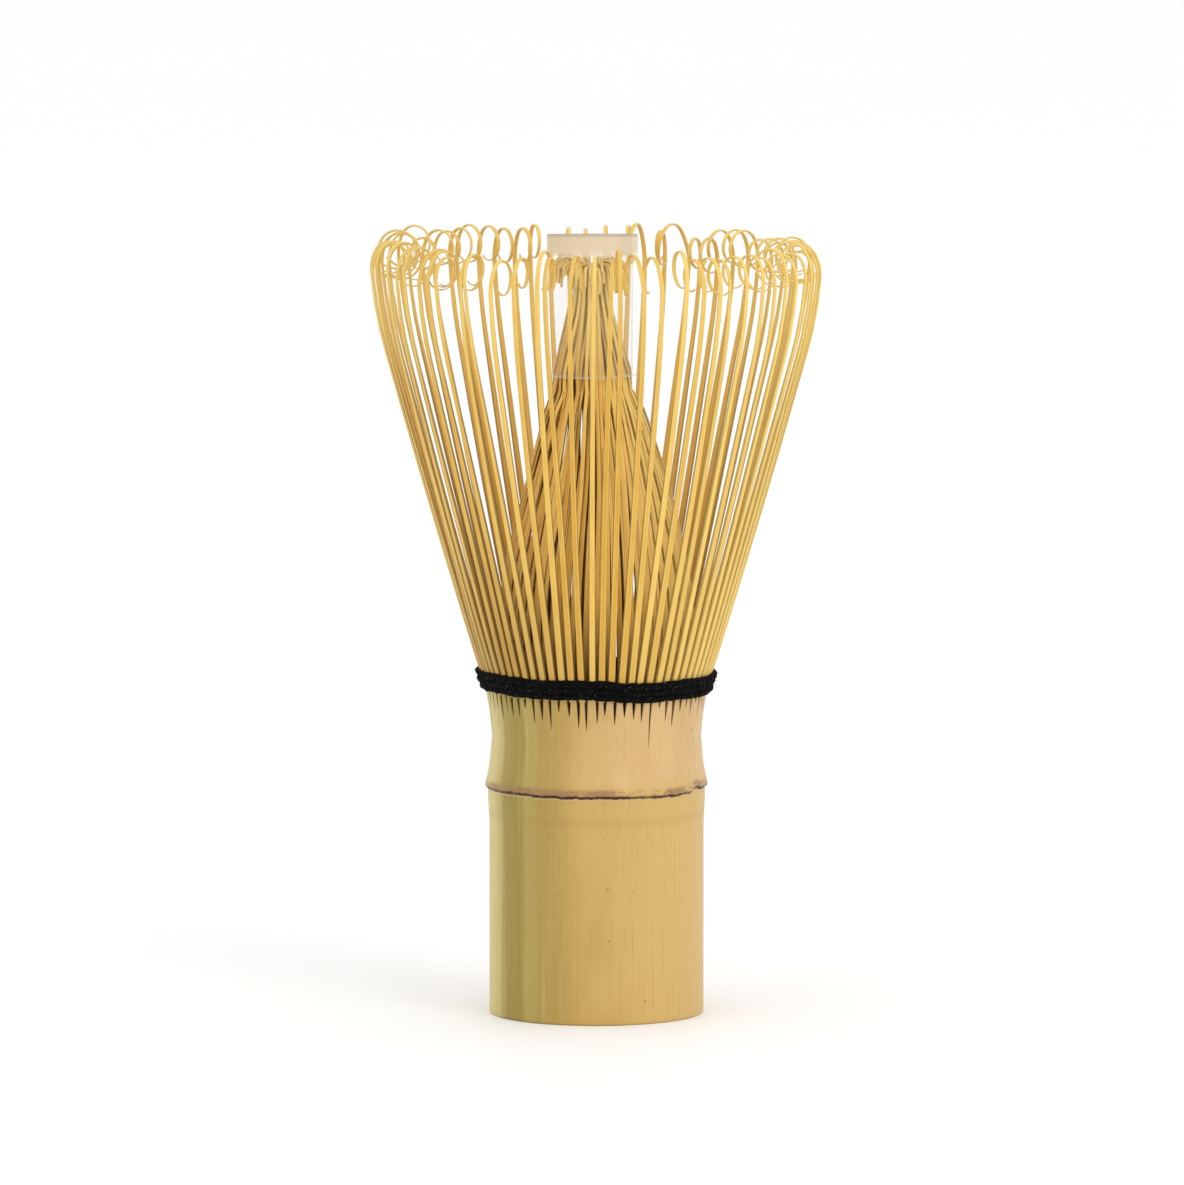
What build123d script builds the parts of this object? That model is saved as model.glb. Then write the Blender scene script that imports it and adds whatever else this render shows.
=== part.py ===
from build123d import *
import os
from math import cos, radians, sin, tan

os.makedirs("parts", exist_ok=True)

# Bamboo tea whisk (chasen). Millimetres, +Z up, origin at the centre of the handle's foot.
# The handle, the node and the collar are one length of culm. Above the collar it is split
# into fine tines: the outer ones lean out and end in curls, and the inner ones are gathered
# into a cone, held at the top by a rolled film sleeve. Black thread binds the tine roots.

# Culm, from the foot up
HANDLE_R = 14.5
BORE_R = 11.4
FOOT_CHAMFER = 0.35
HANDLE_TOP = 27.4
NODE_TOP = 32.4
NODE_BORE_R = 10.9
SCAR_Z = 30.9
SCAR_R = 15.0
NODE_STEP = 0.15
NODE_STEP_RISE = 0.6
RIDGE_LIP = 0.2
RIDGE_HALF = 0.7
NECK_R = HANDLE_R + 0.05
FLARE_DROP = 2.0
FLARE_R = HANDLE_R + 0.1
WAIST_Z = 37.6
WAIST_R = 14.1
COLLAR_TOP = 44.3
COLLAR_TOP_R = 14.95
DIAPHRAGM_LOW = 29.4
DIAPHRAGM_EDGE = 1.3
DIAPHRAGM_RISE = 0.9
SEAT_GAP = 0.02

# Tines: six outer or ten inner ones on each sector, so that a sector flexes as one
SECTORS = 12
SECTOR_ANGLE = 360 / SECTORS
OUTER_PER_SECTOR = 6
INNER_PER_SECTOR = 10
KERF_COUNT = SECTORS * OUTER_PER_SECTOR
KERF_PITCH = 360 / KERF_COUNT
GOLDEN = 0.618034

# Kerfs in the collar, between the tine roots
KERF_WIDTH = 0.42
KERF_SHORT = 1.6
KERF_LONG = 4.6
KERF_MARGIN = 0.5

# Tine roots: each sector starts as a short band of culm wall under the thread
ROOT_LOW = 44.5
ROOT_HIGH = 46.1
ROOT_HALF_ANGLE = 14.3
ROOT_EMBED = 0.3
ROOT_EXTRA_THICK = 0.1
ABOVE_TINES = 110

# Outer tines
OUTER_ROOT_R = 14.45
OUTER_LEAN = 17.4
OUTER_RUN = 47.5
OUTER_ROOT_THICK = 0.8
OUTER_TIP_THICK = 0.35
OUTER_ROOT_WIDTH = 0.95
OUTER_TIP_WIDTH = 0.6
OUTER_TAPER_TOP = 92
OUTER_REACH = 35
# (radius, turn towards the axis) from the straight run to the end of the curl
OUTER_BENDS = [(29.0, OUTER_LEAN), (8.5, 35.0), (3.1, 180.0), (2.1, 150.0)]

# Inner tines
INNER_ROOT_R = 12.3
INNER_ROOT_LEAN = 8.0
INNER_RUN = 20.1
INNER_LEAN = 16.0
INNER_ROOT_THICK = 0.6
INNER_TIP_THICK = 0.32
INNER_ROOT_WIDTH = 0.5
INNER_TIP_WIDTH = 0.21
INNER_TIP_LEAN = 0.8
INNER_TIP_RUN = 15.6
INNER_LOW_BEND_R = 46
INNER_TOP_BEND_R = 12
INNER_REACH = 20
GATHER_Z = 84.0

# Binding thread: flattened section, courses stacked up the flare of the roots
THREAD_RADIAL = 0.36
THREAD_AXIAL = 0.43
THREAD_CLEARANCE = 0.2
COURSES = {"lower": 44.43, "middle": 45.3, "upper": 46.17}
WEAVE_R = 13.35
WEAVE_THREAD_R = 0.3
KNOT_THREAD_R = 0.3
KNOT_BURIED = 0.15
KNOT_LIFT = 0.05
KNOT_ROUND = 0.27

# Rolled film sleeve
SLEEVE_LOW = 86.4
SLEEVE_LENGTH = 19.8
SLEEVE_R = 5.65
FILM = 0.2
ROLL_ARC = 285
FLAP_R = 6.2
FLAP_ARC = 115
ROLL_START = 310


def save(piece, name):
    piece.label = name
    export_step(piece, f"parts/{name}.step")


def radial_plane(angle):
    """The plane through Z at this angle: its x runs outwards, its y runs up."""
    turn = radians(angle)
    return Plane(origin=(0, 0, 0), x_dir=(cos(turn), sin(turn), 0), z_dir=(sin(turn), -cos(turn), 0))


def facing_plane(angle, radius, height):
    """The plane at this radius and height that faces outwards at this angle: its y runs up."""
    facing = Vector(cos(radians(angle)), sin(radians(angle)), 0)
    across = Vector(-facing.Y, facing.X, 0)
    return Plane(origin=facing * radius + Vector(0, 0, height), x_dir=across, z_dir=facing)


def outward(lean):
    """The unit normal, on the outer side, of a tine that leans this far out from the vertical."""
    return Vector(cos(radians(lean)), -sin(radians(lean)))


def along(lean):
    """The unit direction of a tine that leans this far out from the vertical."""
    return Vector(sin(radians(lean)), cos(radians(lean)))


class Strip:
    """A thin strip drawn along a path in a radial plane, inside a BuildLine, face by face."""

    def __init__(self, start, lean, thickness):
        self.point = Vector(*start)
        self.lean = lean
        self.half = thickness / 2
        Line(self.point + outward(lean) * self.half, self.point - outward(lean) * self.half)

    def run(self, length, thickness):
        """A straight length that tapers to the new thickness."""
        normal = outward(self.lean)
        end = self.point + along(self.lean) * length
        for side in (1, -1):
            Line(self.point + normal * side * self.half, end + normal * side * thickness / 2)
        self.point = end
        self.half = thickness / 2

    def bend(self, radius, turn, inwards=True):
        """An arc of even thickness, turning towards the axis or away from it."""
        sign = 1 if inwards else -1
        centre = self.point - outward(self.lean) * radius * sign
        leans = [self.lean - sign * turn * part for part in (0, 0.5, 1)]
        for side in (1, -1):
            reach = sign * radius + side * self.half
            ThreePointArc(*[centre + outward(lean) * reach for lean in leans])
        self.lean = leans[2]
        self.point = centre + outward(self.lean) * radius * sign

    def end(self):
        normal = outward(self.lean)
        Line(self.point + normal * self.half, self.point - normal * self.half)


def taper(root_width, tip_width, taper_high, reach):
    """Keeps what lies inside a tapering outline, seen from outside the whisk."""
    with BuildSketch(Plane.YZ) as outline:
        with BuildLine():
            Polyline(
                (-root_width / 2, ROOT_LOW),
                (-root_width / 2, ROOT_HIGH),
                (-tip_width / 2, taper_high),
                (-tip_width / 2, ABOVE_TINES),
                (tip_width / 2, ABOVE_TINES),
                (tip_width / 2, taper_high),
                (root_width / 2, ROOT_HIGH),
                (root_width / 2, ROOT_LOW),
                close=True,
            )
        make_face()
    extrude(outline.sketch, amount=reach, mode=Mode.INTERSECT)


def make_outer_tine():
    with BuildPart() as tine:
        with BuildSketch(Plane.XZ):
            with BuildLine():
                start = (OUTER_ROOT_R + ROOT_EMBED * tan(radians(OUTER_LEAN)), ROOT_LOW + ROOT_EMBED)
                strip = Strip(start, OUTER_LEAN, OUTER_ROOT_THICK)
                strip.run(OUTER_RUN, OUTER_TIP_THICK)
                for radius, turn in OUTER_BENDS:
                    strip.bend(radius, turn)
                strip.end()
            make_face()
        extrude(amount=OUTER_ROOT_WIDTH / 2, both=True)
        taper(OUTER_ROOT_WIDTH, OUTER_TIP_WIDTH, OUTER_TAPER_TOP, OUTER_REACH)
    return tine.part


def make_inner_tine():
    with BuildPart() as tine:
        with BuildSketch(Plane.XZ):
            with BuildLine():
                strip = Strip((INNER_ROOT_R, ROOT_LOW + ROOT_EMBED), INNER_ROOT_LEAN, INNER_ROOT_THICK)
                strip.bend(INNER_LOW_BEND_R, INNER_ROOT_LEAN + INNER_LEAN)
                strip.run(INNER_RUN, INNER_TIP_THICK)
                strip.bend(INNER_TOP_BEND_R, INNER_LEAN - INNER_TIP_LEAN, inwards=False)
                strip.run(INNER_TIP_RUN, INNER_TIP_THICK)
                strip.end()
            make_face()
        extrude(amount=INNER_ROOT_WIDTH / 2, both=True)
        taper(INNER_ROOT_WIDTH, INNER_TIP_WIDTH, GATHER_Z, INNER_REACH)
    return tine.part


def make_comb(tine, count, root_r, lean, thickness):
    """One sector: a band of culm wall, following the lean of the tines, with its tines on it."""
    flare = (ROOT_HIGH - ROOT_LOW) * tan(radians(lean))
    half = thickness / 2
    with BuildPart() as comb:
        with BuildSketch(radial_plane(-ROOT_HALF_ANGLE)):
            with BuildLine():
                Polyline(
                    (root_r - half, ROOT_LOW),
                    (root_r + half, ROOT_LOW),
                    (root_r + half + flare, ROOT_HIGH),
                    (root_r - half + flare, ROOT_HIGH),
                    close=True,
                )
            make_face()
        revolve(axis=Axis.Z, revolution_arc=2 * ROOT_HALF_ANGLE)
        spread = SECTOR_ANGLE * (count - 1) / count
        with PolarLocations(0, count, -spread / 2, spread, endpoint=True):
            add(tine)
    return comb.part


def export_sectors(comb, name):
    for n in range(SECTORS):
        with BuildPart() as sector:
            with Locations(Location((0, 0, 0), (0, 0, n * SECTOR_ANGLE))):
                add(comb)
        save(sector.part, f"{name}_{n + 1:02d}")


# Handle: the hollow length of culm below the node
with BuildPart() as handle:
    Cylinder(HANDLE_R, HANDLE_TOP, align=(Align.CENTER, Align.CENTER, Align.MIN))
    Cylinder(BORE_R, HANDLE_TOP, align=(Align.CENTER, Align.CENTER, Align.MIN), mode=Mode.SUBTRACT)
    chamfer(handle.edges().group_by(Axis.Z)[0], FOOT_CHAMFER)
save(handle.part, "handle")

# Node ring: a soft step where the node starts, then the sharp ridge of the sheath scar
with BuildPart() as node_ring:
    with BuildSketch(Plane.XZ):
        with BuildLine():
            Polyline(
                (NODE_BORE_R, HANDLE_TOP),
                (HANDLE_R, HANDLE_TOP),
                (HANDLE_R + NODE_STEP, HANDLE_TOP + NODE_STEP_RISE),
                (HANDLE_R + NODE_STEP, SCAR_Z - RIDGE_HALF),
                (SCAR_R, SCAR_Z),
                (HANDLE_R + RIDGE_LIP, SCAR_Z + RIDGE_HALF),
                (NECK_R, NODE_TOP),
                (NODE_BORE_R, NODE_TOP),
                close=True,
            )
        make_face()
    revolve(axis=Axis.Z)
save(node_ring.part, "node_ring")

# Diaphragm: the culm's own partition inside the node, a little domed
with BuildPart() as diaphragm:
    with BuildSketch(Plane.XZ):
        with BuildLine():
            rim = NODE_BORE_R - SEAT_GAP
            centre_z = DIAPHRAGM_LOW + DIAPHRAGM_EDGE + DIAPHRAGM_RISE
            Polyline((0, centre_z), (0, DIAPHRAGM_LOW), (rim, DIAPHRAGM_LOW))
            Line((rim, DIAPHRAGM_LOW), (rim, DIAPHRAGM_LOW + DIAPHRAGM_EDGE))
            TangentArc((0, centre_z), (rim, DIAPHRAGM_LOW + DIAPHRAGM_EDGE), tangent=(1, 0))
        make_face()
    revolve(axis=Axis.Z)
save(diaphragm.part, "node_diaphragm")

# Root collar: the waisted wall above the node, with a V-shaped kerf between each two outer tines
with BuildPart() as collar:
    with BuildSketch(Plane.XZ):
        with BuildLine():
            flare = (FLARE_R, COLLAR_TOP - FLARE_DROP)
            Polyline((NECK_R, NODE_TOP), (BORE_R, NODE_TOP), (BORE_R, COLLAR_TOP))
            Polyline((BORE_R, COLLAR_TOP), (COLLAR_TOP_R, COLLAR_TOP), flare)
            ThreePointArc(flare, (WAIST_R, WAIST_Z), (NECK_R, NODE_TOP))
        make_face()
    revolve(axis=Axis.Z)
    for n in range(KERF_COUNT):
        depth = KERF_SHORT + (KERF_LONG - KERF_SHORT) * (n * GOLDEN % 1)
        with BuildSketch(facing_plane(n * KERF_PITCH, BORE_R - KERF_MARGIN, COLLAR_TOP)):
            with BuildLine():
                Polyline((-KERF_WIDTH / 2, 0), (KERF_WIDTH / 2, 0), (0, -depth), close=True)
            make_face()
    extrude(amount=COLLAR_TOP_R - BORE_R + 2 * KERF_MARGIN, mode=Mode.SUBTRACT)
save(collar.part, "root_collar")

# Binding: three courses of thread round the outside of the tine roots
for course, height in COURSES.items():
    root_face_r = OUTER_ROOT_R + OUTER_ROOT_THICK / 2 + (height - ROOT_LOW) * tan(radians(OUTER_LEAN))
    course_r = root_face_r + THREAD_CLEARANCE + THREAD_RADIAL
    with BuildPart() as thread:
        with BuildSketch(Plane.XZ):
            with Locations((course_r, height)):
                Ellipse(THREAD_RADIAL, THREAD_AXIAL)
        revolve(axis=Axis.Z)
    save(thread.part, f"binding_thread_{course}")

# The course that is woven between the outer and the inner tines, and keeps them apart
with BuildPart() as weave:
    with BuildSketch(Plane.XZ):
        with Locations((WEAVE_R, COLLAR_TOP + WEAVE_THREAD_R)):
            Circle(WEAVE_THREAD_R)
    revolve(axis=Axis.Z)
save(weave.part, "binding_thread_inner")

# The tie-off: a short end of thread laid up across the courses at the back
with BuildPart() as knot:
    low = Vector(0, course_r + THREAD_RADIAL - KNOT_BURIED, COURSES["lower"])
    high = Vector(0, course_r + THREAD_RADIAL + KNOT_THREAD_R + KNOT_LIFT, COURSES["upper"])
    with BuildSketch(Plane(origin=low, z_dir=high - low)):
        Circle(KNOT_THREAD_R)
    extrude(amount=(high - low).length)
    fillet(knot.edges(), KNOT_ROUND)
save(knot.part, "binding_knot")

# Tines, by sectors
outer_thick = OUTER_ROOT_THICK + ROOT_EXTRA_THICK
outer_comb = make_comb(make_outer_tine(), OUTER_PER_SECTOR, OUTER_ROOT_R, OUTER_LEAN, outer_thick)
export_sectors(outer_comb, "outer_tines")
inner_thick = INNER_ROOT_THICK + ROOT_EXTRA_THICK
inner_comb = make_comb(make_inner_tine(), INNER_PER_SECTOR, INNER_ROOT_R, INNER_ROOT_LEAN, inner_thick)
export_sectors(inner_comb, "inner_tines")

# Film sleeve: a sheet rolled once round, whose free end springs off the roll
with BuildPart() as sleeve:
    with BuildSketch(Plane.XY.offset(SLEEVE_LOW)):
        with BuildLine():
            mid_r = SLEEVE_R + FILM / 2
            flap_turn = (ROLL_START + ROLL_ARC) % 360
            flap_centre = Vector(mid_r - FLAP_R, 0).rotate(Axis.Z, flap_turn)
            edges = []
            for side in (1, -1):
                roll = CenterArc((0, 0), mid_r + side * FILM / 2, ROLL_START, ROLL_ARC)
                flap = CenterArc(flap_centre, FLAP_R + side * FILM / 2, flap_turn, FLAP_ARC)
                edges.append((roll @ 0, flap @ 1))
            Line(edges[0][0], edges[1][0])
            Line(edges[0][1], edges[1][1])
        make_face()
    extrude(amount=SLEEVE_LENGTH)
save(sleeve.part, "film_sleeve")
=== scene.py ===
"""Bamboo tea whisk: culm, binding, curled outer tines, gathered inner tines and film sleeve."""
import math
import bmesh
import bpy
import numpy as np
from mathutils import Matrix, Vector


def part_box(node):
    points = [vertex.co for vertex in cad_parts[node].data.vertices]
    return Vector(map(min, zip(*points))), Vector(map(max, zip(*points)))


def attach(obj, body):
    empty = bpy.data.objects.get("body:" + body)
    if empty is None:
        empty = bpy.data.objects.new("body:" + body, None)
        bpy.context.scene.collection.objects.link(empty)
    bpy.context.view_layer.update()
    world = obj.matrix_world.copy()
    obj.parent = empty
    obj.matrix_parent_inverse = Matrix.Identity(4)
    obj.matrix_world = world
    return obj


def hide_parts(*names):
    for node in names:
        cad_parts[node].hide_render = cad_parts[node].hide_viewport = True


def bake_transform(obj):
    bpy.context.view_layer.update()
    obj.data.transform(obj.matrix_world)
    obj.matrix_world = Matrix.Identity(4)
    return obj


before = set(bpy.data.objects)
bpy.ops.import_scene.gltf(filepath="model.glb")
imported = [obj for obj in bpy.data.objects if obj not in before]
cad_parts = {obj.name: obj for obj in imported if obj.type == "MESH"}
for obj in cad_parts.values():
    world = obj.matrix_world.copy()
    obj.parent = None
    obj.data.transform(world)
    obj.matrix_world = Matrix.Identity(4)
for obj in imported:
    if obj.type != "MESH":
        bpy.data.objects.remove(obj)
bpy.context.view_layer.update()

MM = 0.001
FRONT = math.radians(-90)
SECTORS = 12
OUTER_PER_SECTOR = 6
INNER_PER_SECTOR = 10
OUTER_COUNT = SECTORS * OUTER_PER_SECTOR
TINE_PITCH = math.radians(360 / OUTER_COUNT)

# Heights in millimetres, from the frame
HANDLE_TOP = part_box("handle")[1].z / MM
NODE_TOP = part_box("node_ring")[1].z / MM
COLLAR_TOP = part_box("root_collar")[1].z / MM
BINDING_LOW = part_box("binding_thread_lower")[0].z / MM
BINDING_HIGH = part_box("binding_thread_upper")[1].z / MM
SLEEVE_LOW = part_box("film_sleeve")[0].z / MM
SLEEVE_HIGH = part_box("film_sleeve")[1].z / MM
DIAPHRAGM_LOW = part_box("node_diaphragm")[0].z / MM

# Radii and heights in millimetres that the frame doesn't give
BORE_R = 11.4
NODE_BORE_R = 10.9
FOOT_ROUND = 0.35
SCAR_Z = 30.9
LIP_R = 15.02
COLLAR_TOP_R = 14.9
TINE_LOW = 43.9
OUTER_ROOT_R = 14.40
INNER_ROOT_R = 12.45

# How far along x the film and the inner tines' tips stand off the axis
SLEEVE_SHIFT = -0.9


# ---------------------------------------------------------------- meshes

WELD = 0.002 * MM
TOO_SHORT = 0.001 * MM
CURVE_STEP = 0.05  # millimetres


def link(name, data):
    """A new object in the scene."""
    made = bpy.data.objects.new(name, data)
    bpy.context.scene.collection.objects.link(made)
    return made


def make_piece(name, points, faces, material, floats=None, vectors=None, crease=40.0):
    """A smooth-shaded object from points in millimetres, with named attributes for its material."""
    mesh = bpy.data.meshes.new(name)
    mesh.from_pydata((np.asarray(points) * MM).tolist(), [], faces)
    for key, values in (floats or {}).items():
        mesh.attributes.new(key, "FLOAT", "POINT").data.foreach_set("value", np.ravel(values))
    for key, values in (vectors or {}).items():
        mesh.attributes.new(key, "FLOAT_VECTOR", "POINT").data.foreach_set("vector", np.ravel(values))
    work = bmesh.new()
    work.from_mesh(mesh)
    bmesh.ops.remove_doubles(work, verts=work.verts, dist=WELD)
    bmesh.ops.dissolve_degenerate(work, edges=work.edges, dist=TOO_SHORT)
    bmesh.ops.recalc_face_normals(work, faces=work.faces)
    for face in work.faces:
        face.smooth = True
    work.to_mesh(mesh)
    work.free()
    mesh.set_sharp_from_angle(angle=math.radians(crease))
    mesh.materials.append(material)
    return link(name, mesh)


def put_on(piece, body, replaced=None):
    """Hands over a piece that rides one body and the node it replaces."""
    if replaced:
        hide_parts(replaced)
    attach(piece, body)


def wall_faces(rows, columns, closed_columns=True, closed_rows=False, first=0):
    """Quads over a grid of points stored row by row."""
    faces = []
    for i in range(rows if closed_rows else rows - 1):
        low = first + i * columns
        high = first + (i + 1) % rows * columns
        for j in range(columns if closed_columns else columns - 1):
            k = (j + 1) % columns
            faces.append((low + j, low + k, high + k, high + j))
    return faces


def ring_noise(seed, count, angles):
    """Random values round a circle, from -1 to 1, joined by straight lines."""
    values = np.random.default_rng(seed).uniform(-1, 1, count)
    knots = np.linspace(0, 2 * math.pi, count, endpoint=False)
    return np.interp(np.mod(angles, 2 * math.pi), knots, values, period=2 * math.pi)


def smooth_step(low, high, value):
    """0 up to low, 1 from high on, and an S between them."""
    t = np.clip((value - low) / (high - low), 0, 1)
    return t * t * (3 - 2 * t)


def smooth_curve(knots, at, window):
    """A curve through a few (place, value) knots, rounded over a window."""
    places, values = np.array(knots).T
    fine = np.arange(places[0] - window, places[-1] + window, CURVE_STEP)
    weights = np.hanning(int(window / CURVE_STEP) | 1)
    soft = np.convolve(np.interp(fine, places, values), weights / weights.sum(), mode="same")
    edge = len(weights) // 2
    return np.interp(at, fine[edge:-edge], soft[edge:-edge])


# ---------------------------------------------------------------- materials

# The studio light shows a base colour as LIT times itself, plus GLOSS from its sheen
LIT = 1.20
GLOSS = 0.03

# The film's milky band starts and is full at these heights, in millimetres
MILKY_LOW = SLEEVE_HIGH - 3.7
MILKY_HIGH = SLEEVE_HIGH - 2.5


class Shader:
    """Builds one node material around its Principled BSDF, with a method for each kind of node."""

    def __init__(self, name, **sockets):
        self.material = bpy.data.materials.new(name)
        self.material.use_nodes = True
        self.tree = self.material.node_tree
        self.bsdf = self.tree.nodes["Principled BSDF"]
        for key, value in sockets.items():
            self.bsdf.inputs[key.replace("_", " ")].default_value = value

    def node(self, kind, inputs=None, **settings):
        made = self.tree.nodes.new(kind)
        for key, value in settings.items():
            setattr(made, key, value)
        for key, value in (inputs or {}).items():
            if isinstance(value, bpy.types.NodeSocket):
                self.tree.links.new(value, made.inputs[key])
            else:
                made.inputs[key].default_value = value
        return made

    def math(self, operation, a, b=0.0):
        return self.node("ShaderNodeMath", {0: a, 1: b}, operation=operation).outputs[0]

    def add(self, a, b):
        return self.math("ADD", a, b)

    def times(self, a, b):
        return self.math("MULTIPLY", a, b)

    def away(self, value, centre):
        """How far a value is from a centre, on either side."""
        return self.math("ABSOLUTE", self.math("SUBTRACT", value, centre))

    def attribute(self, name, output="Fac"):
        return self.node("ShaderNodeAttribute", attribute_name=name).outputs[output]

    def object_point(self):
        return self.node("ShaderNodeTexCoord").outputs["Object"]

    def split(self, vector):
        return self.node("ShaderNodeSeparateXYZ", {0: vector}).outputs

    def join(self, x, y, z):
        return self.node("ShaderNodeCombineXYZ", {"X": x, "Y": y, "Z": z}).outputs[0]

    def towards(self, angle):
        """Cosine of the turn from a point's side of the whisk to this many degrees from the front."""
        x, y, _ = self.split(self.object_point())
        flat = self.join(x, y, 0.0)
        facing = self.node("ShaderNodeVectorMath", {0: flat}, operation="NORMALIZE").outputs[0]
        turn = FRONT + math.radians(angle)
        inputs = {0: facing, 1: (math.cos(turn), math.sin(turn), 0)}
        return self.node("ShaderNodeVectorMath", inputs, operation="DOT_PRODUCT").outputs["Value"]

    def stretch(self, vector, scale):
        inputs = {"Vector": vector, "Scale": scale}
        return self.node("ShaderNodeMapping", inputs).outputs[0]

    def noise(self, vector, scale=1.0, detail=3.0, roughness=0.5):
        inputs = {"Vector": vector, "Scale": scale, "Detail": detail, "Roughness": roughness}
        return self.node("ShaderNodeTexNoise", inputs).outputs[0]

    def span(self, value, low, high, to_low=0.0, to_high=1.0):
        """Maps low..high to to_low..to_high, smoothly, and holds beyond."""
        inputs = {"Value": value, 1: low, 2: high, 3: to_low, 4: to_high}
        made = self.node("ShaderNodeMapRange", inputs, interpolation_type="SMOOTHSTEP")
        return made.outputs[0]

    def mix(self, share, a, b):
        made = self.node("ShaderNodeMix", data_type="RGBA")
        for socket, value in ((made.inputs[0], share), (made.inputs[6], a), (made.inputs[7], b)):
            if isinstance(value, bpy.types.NodeSocket):
                self.tree.links.new(value, socket)
            else:
                socket.default_value = value
        return made.outputs[2]

    def bump(self, height, strength, distance):
        inputs = {"Height": height, "Strength": strength, "Distance": distance * MM}
        made = self.node("ShaderNodeBump", inputs)
        self.tree.links.new(made.outputs[0], self.bsdf.inputs["Normal"])

    def plug(self, socket, value):
        self.tree.links.new(value, self.bsdf.inputs[socket])


def rgb(red, green, blue):
    """The base colour that looks like these 0..255 display values in the studio light."""
    def base(v):
        v = v / 255
        v = v / 12.92 if v <= 0.04045 else ((v + 0.055) / 1.055) ** 2.4
        return max((v - GLOSS) / LIT, 0.002)
    return (base(red), base(green), base(blue), 1.0)


def culm_material():
    """Dried bamboo: tan, with fibres, specks and the scar, painted light at the right, a greenish
    streak at the left that is partly painted reflection, and painted shade in the kerfs.

    The bore and the rims have the paler flesh, with its pores."""
    s = Shader("bamboo_culm", Roughness=0.42, Specular_IOR_Level=0.4,
               Coat_Weight=0.06, Coat_Roughness=0.35)
    point = s.object_point()
    height = s.split(point)[2]
    fibre = s.noise(s.stretch(point, (4200, 4200, 110)), detail=4, roughness=0.6)
    streak = s.noise(s.stretch(point, (900, 900, 22)), detail=3)
    cloud = s.noise(s.stretch(point, (110, 110, 60)), detail=3)
    drift = s.times(s.math("SUBTRACT", streak, 0.5), 0.07)

    # Painted light: lighter and warmer towards the lit right. At the far left a pale band, and a
    # dusky greenish streak with its pale stripe, are painted reflection of a greenish surround,
    # partly the bamboo's own tint
    tan = s.mix(s.span(cloud, 0.35, 0.65), rgb(203, 168, 97), rgb(212, 177, 107))
    right_light = s.mix(s.span(s.towards(60), 0.55, 0.95), tan, rgb(220, 185, 115))
    left = s.mix(s.span(s.towards(-75), 0.72, 0.97), right_light, rgb(216, 200, 130))
    dusky_reflection_share = s.span(s.add(s.towards(-40), drift), 0.84, 0.99, 0.0, 0.85)
    dusky_reflection = s.mix(dusky_reflection_share, left, rgb(180, 152, 82))
    olive_and_reflection_share = s.span(s.add(s.towards(-47), drift), 0.95, 0.998, 0.0, 0.9)
    olive_and_reflection = s.mix(olive_and_reflection_share, dusky_reflection, rgb(162, 144, 68))
    reflection_stripe_at = s.add(s.towards(-38), s.times(drift, 0.2))
    body = s.mix(s.span(reflection_stripe_at, 0.993, 0.9998, 0.0, 0.4), olive_and_reflection, rgb(206, 186, 116))

    # A pinker collar above the scar, its own colour, laid on more towards the lit right as painted
    # light
    peach = s.mix(s.span(cloud, 0.3, 0.7), rgb(219, 181, 124), rgb(229, 193, 138))
    peach_and_light_share = s.span(s.towards(60), 0.2, 0.8, 0.06, 0.95)
    collar_share = s.times(s.span(height, 31.0 * MM, 33.5 * MM), peach_and_light_share)
    body = s.mix(collar_share, body, peach)

    # Fibres, pale streaks and specks
    body = s.mix(s.span(fibre, 0.52, 0.74, 0.0, 0.26), body, rgb(162, 128, 62))
    body = s.mix(s.span(streak, 0.55, 0.75, 0.0, 0.24), body, rgb(233, 202, 138))
    speck_noise = s.noise(s.stretch(point, (1300, 1300, 900)), detail=1)
    body = s.mix(s.span(speck_noise, 0.785, 0.81, 0.0, 0.6), body, rgb(140, 104, 54))

    # The scar: brown smears above it, a painted highlight below it, a dark line on it and painted
    # shade at a low step
    rise = s.attribute("scar_rise")
    ragged = s.noise(s.stretch(point, (1500, 1500, 2600)), detail=4, roughness=0.7)
    jagged_rise = s.add(rise, s.times(s.math("SUBTRACT", ragged, 0.5), 0.55))
    along = s.noise(s.stretch(point, (260, 260, 260)), detail=2)
    smear_band = s.span(s.away(jagged_rise, 0.55), 0.1, 0.75, 1.0, 0.0)
    smear_share = s.times(smear_band, s.span(s.add(ragged, along), 0.80, 1.08, 0.0, 0.85))
    body = s.mix(smear_share, body, rgb(160, 120, 88))
    # Painted highlight just below the scar
    scar_highlight_share = s.span(s.away(rise, -0.34), 0.05, 0.16, 0.42, 0.0)
    body = s.mix(scar_highlight_share, body, rgb(232, 204, 154))
    line_band = s.span(s.math("ABSOLUTE", jagged_rise), 0.10, 0.32, 1.0, 0.0)
    line_share = s.times(line_band, s.span(along, 0.28, 0.46, 0.6, 1.0))
    body = s.mix(line_share, body, rgb(80, 48, 26))
    # Painted shade along the low step
    step_shade_share = s.span(s.away(rise, -3.5), 0.2, 1.0, 0.16, 0.0)
    body = s.mix(step_shade_share, body, rgb(170, 136, 72))

    # Painted shade in the kerfs
    kerf_shade_share = s.span(s.attribute("kerf"), 0.05, 0.9, 0.0, 0.94)
    body = s.mix(kerf_shade_share, body, rgb(88, 56, 24))
    flesh = s.mix(s.span(streak, 0.4, 0.65), rgb(216, 192, 146), rgb(196, 168, 116))
    pores = s.node("ShaderNodeTexVoronoi", {"Vector": point, "Scale": 2600.0}).outputs["Distance"]
    flesh = s.mix(s.span(pores, 0.12, 0.3, 0.5, 0.0), flesh, rgb(132, 98, 56))
    s.plug("Base Color", s.mix(s.attribute("inside"), body, flesh))
    s.plug("Roughness", s.span(fibre, 0.3, 0.75, 0.36, 0.56))
    s.bump(s.add(s.times(fibre, 0.6), s.times(streak, 0.7)), 0.35, 0.12)
    return s.material


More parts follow.
